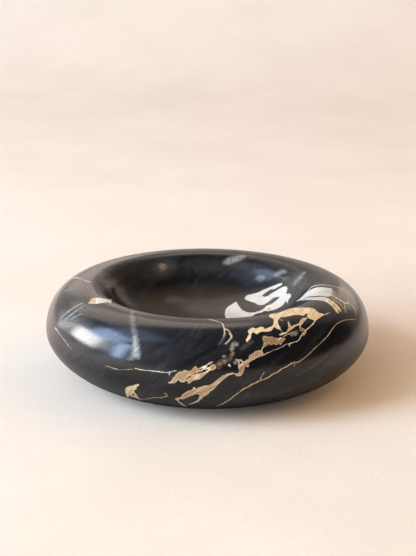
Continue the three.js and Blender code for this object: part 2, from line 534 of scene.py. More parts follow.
def chartOf(points):
    row = onSection(points)[0]
    section = np.interp(row, np.arange(len(sectionLength)), sectionLength)
    return np.arctan2(points[:, 1], points[:, 0]), section, np.hypot(points[:, 0], points[:, 1]) * perMetre


# What the veins leave on each skin point: signed distances in millimetres, and shares from 0 to 1
farAway = 8.0
hairChannels = "ABC"
fieldStarts = {"goldEdge": farAway, "whiteEdge": farAway,
               "paleShare": 0.0, "rustShare": 0.0, "mistShare": 0.0, "murkShare": 0.0}
for channel in hairChannels:
    fieldStarts["hairSide" + channel] = farAway
    fieldStarts["hairHalf" + channel] = -farAway
skin = {}


def corners(mesh):
    flat = np.empty(len(mesh.vertices) * 3, np.float32)
    mesh.vertices.foreach_get("co", flat)
    return flat.reshape(-1, 3).astype(float)


def chartSkin(mesh):
    skin["points"] = corners(mesh)
    skin["angle"], skin["section"], skin["radius"] = chartOf(skin["points"])
    skin["fields"] = {name: np.full(len(skin["points"]), start) for name, start in fieldStarts.items()}
    skin["nearestVein"] = np.full(len(skin["points"]), farAway)


chartSkin(stone.data)
skinFaces = [tuple(face.vertices) for face in stone.data.polygons]
wholeSkin = BVHTree.FromPolygons(skin["points"].tolist(), skinFaces)
wellMargin = 2.0                # millimetres of the lip that count as the well
wellFaces = [face for face in skinFaces if skin["section"][list(face)].min() > wallSection - wellMargin]
wellSkin = BVHTree.FromPolygons(skin["points"].tolist(), wellFaces)
print("stage: skin charted, crest at", round(crestSection, 1), "wall at", round(wallSection, 1), "axis at",
      round(sectionLength[-1], 1), "mm")


searchSteps = 80                # depths that are tried where a pixel is off the stone


def seenAt(x, y, faces):
    # the place on the stone behind a pixel, or the nearest one where the pixel is off the stone
    ray = camera.rotation_quaternion @ pixelRay(x, y)
    hit = faces.ray_cast(camera.location, ray)[0]
    if hit is None:
        depths = np.linspace(view["distance"] - stoneRadius, view["distance"] + stoneRadius, searchSteps)
        found = [faces.find_nearest(camera.location + ray * depth) for depth in depths]
        hit = min(found, key=lambda place: place[3])[0]
    return hit


def chartedPixels(points, inWell=False):
    faces = wellSkin if inWell else wholeSkin
    angle, section, radius = chartOf(np.array([seenAt(x, y, faces) for x, y in points]))
    return np.c_[np.unwrap(angle), section]


smoothParts = 4
chunkSize = 3000                # skin points that are measured at once
tiny = 1e-9


def smoothed(path, closed):
    # a curve through all points of a path
    count = len(path)
    spans = count if closed else count - 1
    pick = (lambda i: path[i % count]) if closed else (lambda i: path[min(max(i, 0), count - 1)])
    points = []
    for i in range(spans):
        before, first, second, after = pick(i - 1), pick(i), pick(i + 1), pick(i + 2)
        for part in range(smoothParts):
            t = part / smoothParts
            points.append(0.5 * (2 * first + (second - before) * t
                                 + (2 * before - 5 * first + 4 * second - after) * t ** 2
                                 + (3 * first - before - 3 * second + after) * t ** 3))
    if not closed:
        points.append(path[-1])
    return np.array(points)


def nearPath(path, closed, reach):
    # skin points within reach of a path: which ones, their distance, side and place along it, whether they
    # are inside it, and how far they lie beyond its ends
    middle = path[:, 0].mean()
    turn = (skin["angle"] - middle + math.pi) % math.tau - math.pi
    section, radius = skin["section"], skin["radius"]
    pathTurn = path[:, 0] - middle
    margin = reach / np.maximum(radius, 1.0)
    near = np.flatnonzero((turn > pathTurn.min() - margin) & (turn < pathTurn.max() + margin)
                          & (section > path[:, 1].min() - reach) & (section < path[:, 1].max() + reach))
    first = np.c_[pathTurn, path[:, 1]]
    second = np.roll(first, -1, axis=0) if closed else first[1:]
    first = first if closed else first[:-1]
    last = len(first) - 1
    results = []
    for chunk in np.array_split(near, len(near) // chunkSize + 1):
        here = np.c_[turn[chunk], section[chunk]][:, None, :]
        scale = np.c_[radius[chunk], np.ones(len(chunk))][:, None, :]
        a, b = (first[None] - here) * scale, (second[None] - here) * scale
        edge = b - a
        length2 = np.maximum((edge ** 2).sum(2), tiny)
        along = -(a * edge).sum(2) / length2
        foot = a + np.clip(along, 0, 1)[..., None] * edge
        distance2 = (foot ** 2).sum(2)
        best = distance2.argmin(1)
        rows = np.arange(len(chunk))
        across = (edge[..., 1] * a[..., 0] - edge[..., 0] * a[..., 1])[rows, best]
        distance = np.sqrt(distance2[rows, best])
        bestAlong, bestLength = along[rows, best], np.sqrt(length2[rows, best])
        beyond = np.where(best == 0, -bestAlong, 0)
        beyond = np.maximum(beyond, np.where(best == last, bestAlong - 1, 0)) * bestLength
        beyond = np.zeros(len(chunk)) if closed else np.maximum(beyond, 0)
        side = np.sign(across) * np.where(beyond > 0, np.abs(across) / bestLength, distance)
        spans = (a[..., 1] > 0) != (b[..., 1] > 0)
        cut = a[..., 0] - a[..., 1] * edge[..., 0] / np.where(edge[..., 1] == 0, tiny, edge[..., 1])
        inside = (spans & (cut > 0)).sum(1) % 2 == 1
        results.append((chunk, distance, side, best + np.clip(bestAlong, 0, 1), inside, beyond))
    return [np.concatenate(column) for column in zip(*results)]


def shadeNear(near, gap, pale):
    # the closest vein settles how pale its gold is
    closer = gap < skin["nearestVein"][near]
    skin["fields"]["paleShare"][near[closer]] = pale
    skin["nearestVein"][near[closer]] = gap[closer]


def signedGap(path, halves):
    # skin points near a path and their distance to its edge, negative inside; an outline has no half widths
    outline = halves is None
    near, distance, side, along, inside, beyond = nearPath(smoothed(path, outline), outline, farAway)
    if outline:
        return near, np.where(inside, -distance, distance)
    return near, distance - np.interp(along / smoothParts, np.arange(len(halves)), halves)


def drawVein(field, path, halves=None, pale=0.0, hole=False):
    near, signed = signedGap(path, halves)
    values = skin["fields"][field]
    if hole:
        values[near] = np.maximum(values[near], -signed)
    else:
        values[near] = np.minimum(values[near], signed)
        shadeNear(near, signed, pale)


# half width that a hair loses for each millimetre past its ends, and how far aside it starts to lose more
hairTaper = {"pastEnds": 1.5, "sideReach": 1.2}


def drawHair(channel, path, halves, pale):
    near, distance, side, along, inside, beyond = nearPath(smoothed(path, False), False, farAway)
    half = np.interp(along / smoothParts, np.arange(len(halves)), halves)
    half = half - hairTaper["pastEnds"] * beyond - np.maximum(np.abs(side) - hairTaper["sideReach"], 0)
    gap = np.abs(side) - half
    sides, widths = skin["fields"]["hairSide" + channel], skin["fields"]["hairHalf" + channel]
    closer = gap < np.abs(sides[near]) - widths[near]
    sides[near[closer]] = side[closer]
    widths[near[closer]] = half[closer]
    shadeNear(near, gap, pale)


def eased(share):
    return share * share * (3 - 2 * share)


def drawSoft(field, path, halves, strength, softness):
    # a share that fades out over its edge
    near, signed = signedGap(path, halves)
    fade = eased(np.clip(0.5 - signed / (2 * softness), 0, 1))
    values = skin["fields"][field]
    values[near] = np.maximum(values[near], strength * fade)


# Gold veins, as outlines in pixels of the picture. pale goes from ochre, 0, over gold to cream, 1, and on to
# grey.
goldPatches = {
    "crestBand": {"pale": 0.66, "outline": [
        (268.9, 316), (271.5, 314), (276, 313.4), (280.3, 312.4), (285, 310.2), (290, 308.6), (295, 307.9),
        (300, 307.6), (305, 307.6), (310, 307.9), (313.5, 308.8), (316, 310.4), (318.5, 312.7), (321, 313.4),
        (324.5, 314.4), (327, 313.4), (329.5, 312.2), (326.5, 314.6), (323, 315.2), (321, 317), (318, 319),
        (315, 320.6), (312, 319.4), (309, 318.6), (307, 316.2), (308, 314.8), (306, 313.5), (303.5, 315.6),
        (300, 314.9), (295, 314.9), (290, 315.8), (285, 316.8), (280, 317.4), (278.3, 319.5), (277.7, 322.5),
        (279, 325.5), (280.5, 329), (282, 331.3), (279, 329.2), (276.7, 328.5), (274.3, 327.2),
        (272.4, 329.2), (270.5, 330.8), (266, 331.4), (262, 331.8), (258.7, 332.6), (256.6, 334.2),
        (254.5, 332.9), (252.4, 332.1), (251.5, 334.5), (250.7, 337.1), (248.9, 339.7), (246.9, 342),
        (245.9, 340), (247.6, 337.1), (248.7, 334.3), (248.2, 331.4), (249.5, 329.2), (252.6, 327.9),
        (256, 328.4), (259.7, 327), (262.1, 326.8), (264.2, 327.9), (265.5, 329.4), (267.4, 327.9),
        (270.5, 327.1), (273.2, 324.2), (273.7, 321.8), (273.2, 318.9), (270.5, 317.4)]},
    "webBranch": {"pale": 0.45, "outline": [
        (288.2, 321.6), (289.3, 322.5), (290.5, 324.7), (292, 326.6), (294.5, 324.9), (298, 323.6),
        (299.5, 322.3), (300.5, 320.4), (302.5, 318.5), (305, 317.9), (307.3, 317.6), (306, 319.5),
        (303.5, 321.6), (302, 323.7), (300.7, 325.4), (298, 325.3), (295, 326.6), (292.5, 328.6),
        (290, 330.2), (288.4, 331.8), (286.5, 333), (283.4, 334.2), (281, 335.5), (279.1, 335),
        (280.2, 333.8), (282.4, 332.7), (286, 332), (287.1, 330.7), (288.4, 328.7), (288.5, 326.5),
        (287.9, 324.5)]},
    "shoulderPatch": {"pale": 0.03, "outline": [
        (262.4, 338.2), (263.4, 336.3), (265.5, 336), (268, 337), (272, 336.8), (275, 337.8), (278.6, 338.3),
        (280, 337.4), (283, 337.8), (285.4, 339), (283.6, 340.8), (282, 342.7), (280.4, 344.7),
        (278.2, 343.8), (276.4, 345), (274, 343.8), (271.5, 345), (269.5, 343.8), (267, 345.5),
        (264.5, 346.8), (262.8, 347.8), (263.6, 344), (263.5, 341)]},
    "lowerPatch": {"pale": 0.30, "outline": [
        (262, 350), (259.3, 350.5), (255.5, 351.5), (253.5, 353.3), (250.6, 354.6), (249.3, 356.2),
        (249.1, 358.5), (246.5, 360.2), (248.5, 362.4), (252.2, 360.4), (256, 358.3), (260, 356.4),
        (264.4, 355.2), (263, 353.4), (262.4, 351.4)]},
    "knot": {"pale": 0.10, "outline": [
        (235.2, 358.8), (238, 359.5), (240.4, 359.3), (242.4, 360.9), (245, 361.3), (246.5, 360.2),
        (248.3, 363), (248.8, 365.5), (248.8, 367.7), (247.4, 367), (246, 365.5), (244.6, 367.5),
        (243.8, 370.2), (243, 373), (241, 375.5), (238, 376.2), (235.5, 375.3), (233.5, 373.6),
        (236.5, 373.6), (239, 372.4), (239.5, 370.4), (238.4, 367.2), (238.1, 364), (236.8, 361.3)]},
    "longRibbon": {"pale": 0.28, "outline": [
        (233, 372.8), (229, 373.5), (225, 374.9), (221.1, 377), (218, 379), (215, 382), (212, 383.8),
        (208.5, 385.6), (204, 386), (200, 387), (196, 388.6), (193.8, 387.2), (192.9, 389.4), (189, 390.8),
        (184.8, 393), (182.5, 394.7), (180.4, 397.3), (177.5, 397.8), (175.3, 399), (177, 400.6),
        (179.5, 403), (183, 405.3), (186.5, 406.2), (182, 403.6), (178.4, 400.8), (180.2, 399), (183.5, 399),
        (187, 397.6), (190, 396.2), (193.5, 394.8), (196.6, 393.9), (199, 394.3), (199.7, 396.3),
        (198.5, 398.8), (197, 400.6), (193, 402.6), (188.1, 404.3), (193.5, 403.4), (198, 401.4),
        (201.9, 398.6), (203.1, 396.8), (206.5, 394.9), (210, 391.8), (213.5, 389.3), (216.5, 385.8),
        (219, 383.5), (222, 380.5), (225.4, 377.7), (229.2, 375), (233, 373.9)]},
    "lumpyPatch": {"pale": 0.19, "outline": [
        (168.2, 382.7), (171, 381), (172.7, 378.5), (175.5, 375.5), (178.6, 372.3), (182.2, 371.5),
        (184.6, 370.2), (187.5, 371), (190.5, 370.8), (192.4, 368.5), (194.8, 366.3), (196.6, 366.8),
        (197.5, 369), (200.1, 368), (202.4, 366.1), (206, 365.3), (209.5, 362.9), (213.1, 362),
        (210.5, 364.5), (213.5, 364.3), (215.4, 365.4), (215.8, 368), (214.2, 369.6), (210.6, 370.4),
        (208, 371.9), (205.4, 374), (203.1, 376.1), (200.5, 378.2), (197, 379.5), (193.2, 380.7),
        (190.7, 382), (188.4, 383.6), (188, 381.5), (185.5, 380.5), (183.5, 382.4), (180.5, 381.7),
        (178.3, 379.9), (176.1, 381.6), (173, 383), (170, 383.3)]},
    "rimFinger": {"pale": 0.64, "outline": [
        (327.5, 299.2), (331, 300.2), (334.5, 302.6), (337.5, 305.5), (340, 308.5), (341.5, 311.5),
        (340.2, 311.6), (338.6, 309.4), (337.4, 308.8), (338, 311), (338.8, 313), (337, 312.8), (335, 310.3),
        (332.8, 307.2), (330, 304.6), (327, 302.6), (325, 301.2)]},
    "leftRimGold": {"pale": 0.42, "outline": [
        (87.6, 302.9), (90.2, 301.5), (90.6, 299.3), (93, 298.1), (97, 297.8), (97.8, 299.8), (96.8, 302.4),
        (95.2, 303.8), (91, 303.6)]},
    "calciteFleck": {"pale": 0.34, "inWell": True, "outline": [
        (265.5, 308.6), (268, 306.2), (271, 306.4), (272.2, 308.2), (269.6, 309.4), (268.5, 310.8),
        (266.3, 310.2)]},
    "hook": {"pale": 0.36, "outline": [
        (138.6, 384.3), (138.8, 385.5), (136.6, 387), (136.2, 389.4), (134.1, 390), (134.4, 392.1),
        (136.4, 394.6), (138, 397.2), (140.4, 399.3), (137.3, 398.3), (135, 397.6), (131.4, 396.4),
        (129.5, 394.5), (128.4, 397.1), (126.4, 395.4), (125.7, 392.1), (125.3, 389.4), (127, 387.3),
        (130.1, 386), (133.6, 385.5), (136.6, 384.4)]},
}
goldHoles = {
    "knotHole": [(240.2, 361.2), (241.8, 362), (241.6, 364), (240.2, 364.4), (239.6, 362.8)],
    "hookSpot": [(132.2, 393.6), (133.8, 393.8), (134.4, 395.4), (133, 395.8), (132, 395)],
}
# slits of dark stone, and short gold strokes: points with a half width, in pixels
goldSlits = {
    "fingerSlit": [(331.5, 302.6, 0.25), (334.6, 305.6, 0.5), (337.2, 309.4, 0.4)],
    "lumpySlit": [(204, 369.8, 0.5), (209, 366.2, 0.8), (213, 363.2, 0.5)],
    "lumpyCrack": [(186, 379.8, 0.5), (190.2, 376, 0.8)],
    "lumpyFold": [
        (190.5, 375, 0.3), (195, 373.6, 0.5), (199.5, 372.6, 0.7), (204.5, 370.9, 0.8), (208, 369.3, 0.4)],
    "lumpyStep": [(197, 369.4, 0.3), (200.5, 369.8, 0.5), (203.5, 368.2, 0.3)],
    "lumpyNick": [(206, 367, 0.2), (208.5, 365.2, 0.45), (211, 363.4, 0.2)],
}
goldStrokes = {
    "lipLoop": [
        (225, 328.6, 0.4), (226.6, 329.7, 0.7), (229.3, 331.2, 0.4), (230.3, 334, 0.8), (231.4, 337, 0.7),
        (229.3, 339.8, 0.4), (227.3, 342.3, 0.6), (225.4, 343.8, 0.35)],
    "edgeKnot": [(306, 330.2, 0.7), (304.6, 332.6, 1.3), (302.4, 334.8, 1.0)],
    "fleck": [(229.2, 365.2, 0.9), (229.9, 365.9, 0.9)],
}

# White veins: outlines on the rim, and one that lies in the well
whitePatches = {
    "wellCalcite": {"inWell": True, "outline": [
        (282.3, 283.4), (280, 283.4), (276, 284.9), (271.6, 286.6), (268, 288), (264.3, 289.4), (260, 291.6),
        (255, 293.3), (250, 294.4), (246.5, 295.6), (244.8, 298.3), (246, 299.8), (250, 301.2),
        (253.9, 302.6), (257.5, 304.4), (260.5, 305), (264, 304.5), (267, 302.6), (270, 300.4),
        (272.8, 298.3), (276, 297.1), (279.7, 297), (277.4, 299.6), (275, 301.5), (272, 303.6),
        (268.4, 305.2), (266, 306.4), (264.6, 308), (262.2, 309.7), (259, 311), (255, 312), (251, 312.7),
        (248, 312.4), (244.3, 311.1), (241.9, 309.5), (240, 307.5), (238, 305), (236.7, 302.3), (235.4, 302),
        (232, 304.2), (229, 306), (226.4, 308.4), (225.3, 311.6), (225.1, 314.3), (226, 318), (232, 320.5),
        (242, 319.5), (251, 316.5), (256.2, 313.7), (261.4, 312.5), (265, 310.8), (267.8, 311.2),
        (270.5, 310.6), (274, 309.8), (278, 308.1), (281.6, 306.1), (284, 303.6), (286, 301.1),
        (287.4, 303.8), (288.4, 300), (290.7, 296.6), (291, 295.3), (289.5, 293.5), (287, 293.9),
        (286.1, 293.3), (286.8, 291), (287.5, 288), (286.5, 286.6), (284.5, 286.4), (281, 287.8),
        (278, 289.7), (275.5, 291.1), (273, 292.4), (269.8, 294.6), (267.5, 296.3), (264, 296.8),
        (262.3, 295.7), (264.1, 293.8), (266.5, 292), (269.5, 290), (272, 289.2), (274.5, 289), (277, 287.5),
        (280, 286), (282, 284.5)]},
    "rimBandUpper": {"outline": [
        (296.6, 301.2), (300.8, 298), (303.5, 295.1), (307, 292), (310.8, 289.8), (315.1, 287.9),
        (320, 287.2), (325.6, 287.5), (331.4, 288.5), (332, 290), (331, 294.5), (328.5, 296.6),
        (320.5, 295.7), (312, 296.3), (305, 298.2), (300, 300.3)]},
    "rimBandLower": {"outline": [
        (300, 300.3), (305, 298.9), (312, 297.4), (320.5, 296.8), (326, 297.4), (330, 299.4), (329, 301.5),
        (327, 302.4), (325.2, 301.7), (322, 300.8), (318, 300.2), (312, 299.9), (306, 300)]},
    "leftRimPatch": {"outline": [
        (96.4, 297.9), (103, 298.4), (108.2, 299.1), (112.2, 300), (115.4, 301.5), (111.4, 301.7), (107, 302),
        (103, 302.8), (98.2, 303.6), (95.4, 303.6), (95.6, 300.6)]},
}
whiteSlits = {
    "bandCrease": [(312, 293.6, 0.2), (319, 292.2, 0.3), (327, 292.6, 0.2)],
}
whiteStrokes = {
    "lipStart": [(207, 318.8, 0.5), (211, 319.6, 0.8), (214.5, 320.6, 0.6)],
    "rimDot": [(110.8, 291, 0.5), (111.3, 291.2, 0.5)],
}

# Hairlines: channel, paleness, half width in pixels, and points, some with a half width of their own.
# Neighbours are on different channels.
hairs = {
    "mainLine": ("A", 0.42, 0.75, [
        (216.2, 406.5), (219, 405.2), (222.6, 404, 1.0), (225.5, 402), (229.3, 399.8, 1.0),
        (233.1, 396.8, 1.0), (237.2, 393.7), (240.5, 391.2, 1.0), (243.5, 389), (247.6, 387.2, 1.1),
        (251, 384.9, 1.1), (255.2, 383.1), (260, 380.6, 1.0), (264.3, 379.2), (269.2, 376.9, 0.9),
        (272.9, 374.1), (277.8, 372), (281, 369.4, 0.9), (286.2, 366.8), (291, 363.8, 0.9), (295.2, 362.2),
        (298, 362.3), (301, 360.4, 0.9), (305.2, 357.4), (308, 355), (313.5, 349.6), (316.1, 347),
        (319.3, 344.2), (324, 339.6, 0.6), (328, 335.5, 0.6), (330.6, 331.6, 0.6), (333.4, 327.5, 0.6),
        (336.4, 324.2, 0.5), (341, 321.5, 0.5), (345, 320, 0.5), (350, 319.3, 0.4), (356, 319.6, 0.3)]),
    "mainTwig": ("B", 0.8, 0.4, [(260, 380), (262, 375.5), (264.5, 372.5)]),
    "mainSpur": ("B", 0.5, 0.7, [(295, 362.3), (294.2, 366)]),
    "paleEdge": ("B", 0.88, 0.6, [
        (315, 320.8), (313.5, 323.2), (311.1, 325.8), (308.5, 328), (305.6, 330.3), (305.5, 332.5),
        (303.3, 334.3), (301.1, 335.7), (300.2, 338), (298.5, 340.2), (296.6, 341.3), (293, 342.4, 0.45),
        (289.6, 343.8, 0.5), (287, 344.1, 0.3), (285, 344.8, 0.4), (283.1, 346.4, 0.4), (279.9, 347.6, 0.25),
        (277, 349.1, 0.35), (273, 350.4, 0.2), (269.8, 352.1, 0.35), (266.9, 353.1, 0.35),
        (264.5, 355, 0.5)]),
    "paleSpur": ("A", 0.6, 0.6, [(289, 344), (289.8, 346.5)]),
    "crestTwig": ("A", 0.3, 0.6, [(278, 318.5), (282.6, 320.7)]),
    "curl": ("A", 0.6, 0.7, [(300.3, 325.5), (300, 328), (300.5, 330.4), (303, 330)]),
    "curlArm": ("C", 0.6, 0.6, [(301.5, 328), (304.5, 329.8)]),
    "greyThread": ("A", 0.7, 0.5, [(283, 337), (287, 334.5), (290, 333.4), (292, 332)]),
    "patchNeck": ("A", 0.8, 0.7, [(263, 347), (261.8, 350)]),
    "lipThread": ("A", 0.9, 0.7, [(214, 320.4), (216, 321), (222, 323.3), (224, 328.2)]),
    "blobTail": ("A", 0.2, 0.6, [(231.5, 351.5), (234, 354), (232.4, 355), (233, 356)]),
    "hookLine": ("A", 0.35, 0.7, [
        (140, 399.2, 0.5), (145, 399.3, 0.5), (150, 398.4, 0.6), (155, 397.5, 0.8), (160, 397.9, 0.8),
        (163, 397, 0.7), (166.6, 396.3, 0.8), (166.8, 394.6, 0.5), (164.4, 393.1, 0.7)]),
    "dashLeft": ("A", 0.75, 0.4, [
        (105, 365.9, 0.1), (108, 366.6, 0.25), (112, 367.8), (116, 369, 0.35), (119.5, 369.8, 0.1)]),
    "dashFaint": ("A", 0.8, 0.1, [(119.5, 369.8), (126, 369.6), (133, 369)]),
    "dashMiddle": ("A", 0.7, 0.36, [
        (134.8, 368.9, 0.3), (136.5, 368.2, 0.7), (138.5, 369.4), (141, 369.8, 0.45), (144, 370.2),
        (147.5, 370.5, 0.2)]),
    "dashRight": ("A", 1.14, 0.3, [
        (147.5, 370.5, 0.2), (151, 370.8, 0.4), (154, 371.3, 0.6), (157, 371.5, 0.7), (160, 371.8, 0.6),
        (163.5, 372.3, 0.4), (166, 372.5, 0.2), (170, 372.2), (173.5, 371.2), (176.5, 371, 0.6)]),
    "dashMark": ("B", 1.14, 0.5, [(169.5, 371.5), (169.2, 375)]),
    "rimThread": ("A", 1.0, 0.7, [
        (307, 292, 0.5), (309, 289.5), (312.5, 286.6, 0.9), (316, 285.4, 1.0), (320, 284.9, 1.0),
        (326, 285.1, 0.9), (332, 285.9), (338, 287.6), (343, 289.5, 0.6), (346, 290.8, 0.3)]),
    "rimStream": ("A", 0.86, 1.7, [
        (332, 295.4), (334, 296.6), (338, 298.8), (342, 301.3), (346, 303.3, 1.3), (349, 303.4, 0.8),
        (352, 305.6, 0.7), (354, 308.2, 0.6), (355.4, 311.4, 0.5), (356, 315, 0.3)]),
    "rimStrand": ("C", 0.9, 0.7, [
        (330.5, 297.4, 0.4), (334.6, 300, 0.8), (338.5, 302.8, 0.9), (341.6, 305.4, 0.7), (343.5, 309, 0.3)]),
    "rimFibre": ("B", 0.9, 0.5, [(343, 301.5), (345, 306), (344.8, 309), (346, 312.5)]),
    "rimFibreUpper": ("B", 0.9, 0.5, [(347, 300.5), (349.5, 303)]),
    "leftRimLine": ("A", 1.0, 0.7, [
        (70.5, 278.4, 0.3), (73.5, 277.9, 0.9), (78, 277.9, 0.9), (82, 279.2, 0.4), (85.5, 280.6, 0.7),
        (88, 281.5, 1.1), (90, 282, 0.7)]),
    "leftStrand": ("A", 1.3, 0.7, [
        (59.5, 319.2, 0.2), (62, 316.8, 0.6), (65, 314, 0.6), (69, 310.9, 0.75), (74, 307.4, 0.75),
        (79, 304.6, 0.7), (83.3, 302.8, 0.3)]),
    "leftStrandLower": ("B", 1.3, 0.6, [
        (65, 319.4, 0.2), (67, 318.2, 0.4), (70, 315.6, 0.55), (74, 312.6, 0.55), (78.5, 309.4, 0.45),
        (83.5, 305.9, 0.1)]),
    "leftStrandThird": ("C", 1.3, 0.5, [
        (69.5, 320.6, 0.1), (73.5, 317.6, 0.4), (79, 314.8, 0.3), (82, 313.6, 0.1)]),
    "leftCream": ("A", 0.9, 0.06, [
        (55, 327.6, 0.3), (57, 330.2, 0.6), (59.2, 333.4, 0.3), (61.5, 336.5), (65, 341, 0.12), (69.5, 346.5),
        (72, 349.4, 0.08)]),
    "lipLoopInner": ("B", 0.9, 0.4, [
        (223.6, 328, 0.4), (224.6, 331.2, 0.5), (224.4, 334.4, 0.35), (223.2, 337.2, 0.15)]),
}

# Soft grey spots and streaks, among them painted sheen and glow: strength, softness in millimetres, and an
# outline, or points with a half width
mistAndSheenPatches = {
    "greyStreak": (0.30, 0.6, [
        (130.2, 312.3), (130.3, 320), (131.6, 329), (132.8, 337), (132.2, 346), (131.2, 355), (127, 359.4),
        (132, 360.2), (136, 358.6), (139.6, 359.6), (140, 354), (139, 346), (137.6, 337), (135.8, 329),
        (134.3, 320), (133.8, 312.3)]),
    "streakCore": (0.66, 0.7, [
        (133.3, 336), (133, 345), (132.4, 353), (131.6, 357.6), (136, 357), (138.8, 357.6), (139.2, 353),
        (138.2, 345), (136.8, 337)]),
    # the next two are a painted glow beside the window highlight on the left shoulder
    "paintedGlowWedge": (0.28, 1.6, [
        (57, 324.4), (62, 319.4), (67, 319), (73, 321.4), (79, 324.5), (72, 326.5), (64, 328.5)]),
    "paintedGlowHaze": (0.13, 3.4, [(66, 322), (72, 316), (80, 314), (88, 318), (92, 325), (82, 328), (72, 328)]),
    "wellSpot": (0.52, 1.1, [
        (158.6, 266), (160.4, 263.6), (164, 263.4), (166, 265.8), (165.6, 269.4), (163, 271), (160, 270.2)]),
    "wellSpotHalo": (0.07, 5.0, [
        (150, 266), (156, 259), (166, 258), (173, 263), (172, 271), (164, 276), (154, 274)]),
    # a painted sheen on the left wall of the well
    "paintedLeftWallSheen": (0.035, 6.0, [(128, 270), (140, 262), (156, 260), (160, 270), (146, 276), (132, 280)]),
    "farStreak": (0.52, 1.1, [
        (223.6, 263.2), (226.5, 259), (231, 256.8), (238, 255.8), (245.4, 255.2), (243, 258.8), (238, 261.2),
        (232, 263.4), (227, 264.4)]),
    # a painted reflection of the window in the far wall of the well
    "paintedSkyReflection": (0.36, 1.0, [
        (255.8, 279), (257.5, 276.4), (261, 275.4), (264.6, 277), (263.8, 280), (260, 281.2)]),
    "farSpot": (0.48, 0.9, [
        (274, 274.5), (278, 271.5), (283, 269.8), (286.5, 270.8), (285.5, 273.3), (281, 274.5),
        (276.5, 276)]),
    "farLeaf": (0.38, 0.9, [
        (293, 285), (294.5, 281), (297.5, 277), (301, 273.8), (306, 271.5), (304.5, 275), (301.5, 279.5),
        (298.5, 282.5), (295.5, 284.8)]),
    # a painted sheen on the right wall of the well, round the white calcite
    "paintedSideSheen": (0.11, 5.0, [
        (256, 300), (266, 290), (278, 282), (290, 276), (302, 273), (311, 276), (306, 288), (297, 299),
        (286, 306), (262, 308)]),
    "dishSpot": (0.10, 3.0, [(165, 300), (170, 297), (180, 297.5), (184, 300.5), (177, 303.5), (168, 303)]),
    "greyBlob": (0.62, 0.45, [
        (231.2, 343.6), (233.6, 342), (236.9, 342.4), (238.6, 344.5), (236.4, 346.2), (233.5, 346.5),
        (234, 348.4), (232.4, 350.8), (230.5, 350.5), (229.7, 348.6), (231, 346.5)]),
    "palePatch": (0.52, 0.5, [
        (290.5, 333.5), (293.4, 331.6), (298, 331), (297.2, 333.2), (295.5, 335.8), (293, 334.8),
        (291.2, 336.2)]),
    "rimFade": (0.55, 1.2, [(326, 288.4), (331, 288.6), (335, 291.5), (334.5, 296), (328, 295.6)]),
}
mistAndSheenStrokes = {
    "leftArc": (0.34, 0.8, [(58.5, 295.4, 0.4), (62, 292.2, 0.9), (66.5, 290.2, 0.9), (76, 288.7, 0.3)]),
    "leftArcLower": (0.24, 0.8, [(63, 297.4, 0.3), (67.5, 294.6, 0.6), (72.5, 292.2, 0.3)]),
    "farDash": (0.45, 0.6, [(282.8, 279.8, 0.4), (285.4, 278.3, 0.7), (287.8, 276.9, 0.4)]),
    # a painted sheen on the inner side of the left lip
    "paintedLipSheen": (0.26, 6.0, [(101, 272, 4), (104.5, 284, 5), (110, 293, 4)]),
    "greySmear": (0.16, 1.2, [(241.5, 348.5, 0.9), (246.5, 345.5, 1.2), (252, 341.5, 0.7)]),
    "speckUpper": (0.65, 0.4, [(223.2, 356.6, 0.9), (224, 356.2, 0.9)]),
    "speckLower": (0.85, 0.4, [(234.7, 362.2, 0.9), (235.2, 362.9, 0.9)]),
    "lipShade": (0.30, 0.6, [(223.8, 330, 0.5), (224.6, 334.5, 0.7), (222.5, 340, 0.6), (218.5, 344.5, 0.3)]),
    "flankWisp": (0.16, 0.7, [(287, 392, 0.3), (296, 388.5, 0.5), (305, 385, 0.5), (318, 378, 0.3)]),
    "flankWispLower": (0.10, 0.8, [(268, 397, 0.3), (283, 391.5, 0.6), (300, 384, 0.3)]),
    "sideWisp": (0.12, 1.2, [(296, 376, 0.5), (310, 368, 0.9), (325, 357, 0.9), (336, 346, 0.4)]),
    "sideWispOuter": (0.09, 1.2, [(318, 373, 0.5), (330, 363, 0.9), (341, 350, 0.4)]),
}
# Brown mottling: points with a half width, in pixels
murks = {
    "mottle": [
        (232.5, 353, 1.3), (230.5, 357, 1.2), (227, 360, 1.5), (223, 362.5, 2.0), (219, 364, 2.2),
        (218, 367, 1.2)],
}
# Places where the gold turns to rust or cream: field, centre and radius in pixels, and the value there
goldTints = {
    "rustSide": ("rustShare", (193.5, 370), 5.5, 1.0),
    "rustLip": ("rustShare", (232, 352.5), 2.5, 0.7),
    "creamMiddle": ("paleShare", (206, 367.5), 5.5, 0.82),
    "creamLower": ("paleShare", (197, 377), 5.0, 0.42),
    "calciteFleck": ("paleShare", (268.8, 308.6), 6.0, 0.40),
    "brownSpot": ("rustShare", (162, 267), 9, 0.9),
}
strokeHalf = 0.7                # half width in pixels where a point has none of its own
hairThinning = 0.56             # share of a hair's half width that is kept
strokePales = {"goldEdge": 0.3, "whiteEdge": 1.0}
murkSoftness, tintFade = 0.9, 1.4


def traced(points, half=strokeHalf, thinning=1.0):
    # a stroke on the skin: its path, and half widths in millimetres
    halves = [(point[2] if len(point) > 2 else half) * thinning / pixelsPerMillimetre for point in points]
    return chartedPixels([point[:2] for point in points]), halves


def tintSpot(field, centre, reach, value):
    # a round spot that fades out to its reach
    angle, section = chartedPixels([centre])[0]
    turn = (skin["angle"] - angle + math.pi) % math.tau - math.pi
    distance = np.hypot(turn * skin["radius"], skin["section"] - section) * pixelsPerMillimetre
    fade = np.clip(tintFade - tintFade * distance / reach, 0, 1)
    values = skin["fields"][field]
    values[:] = values + (value - values) * fade


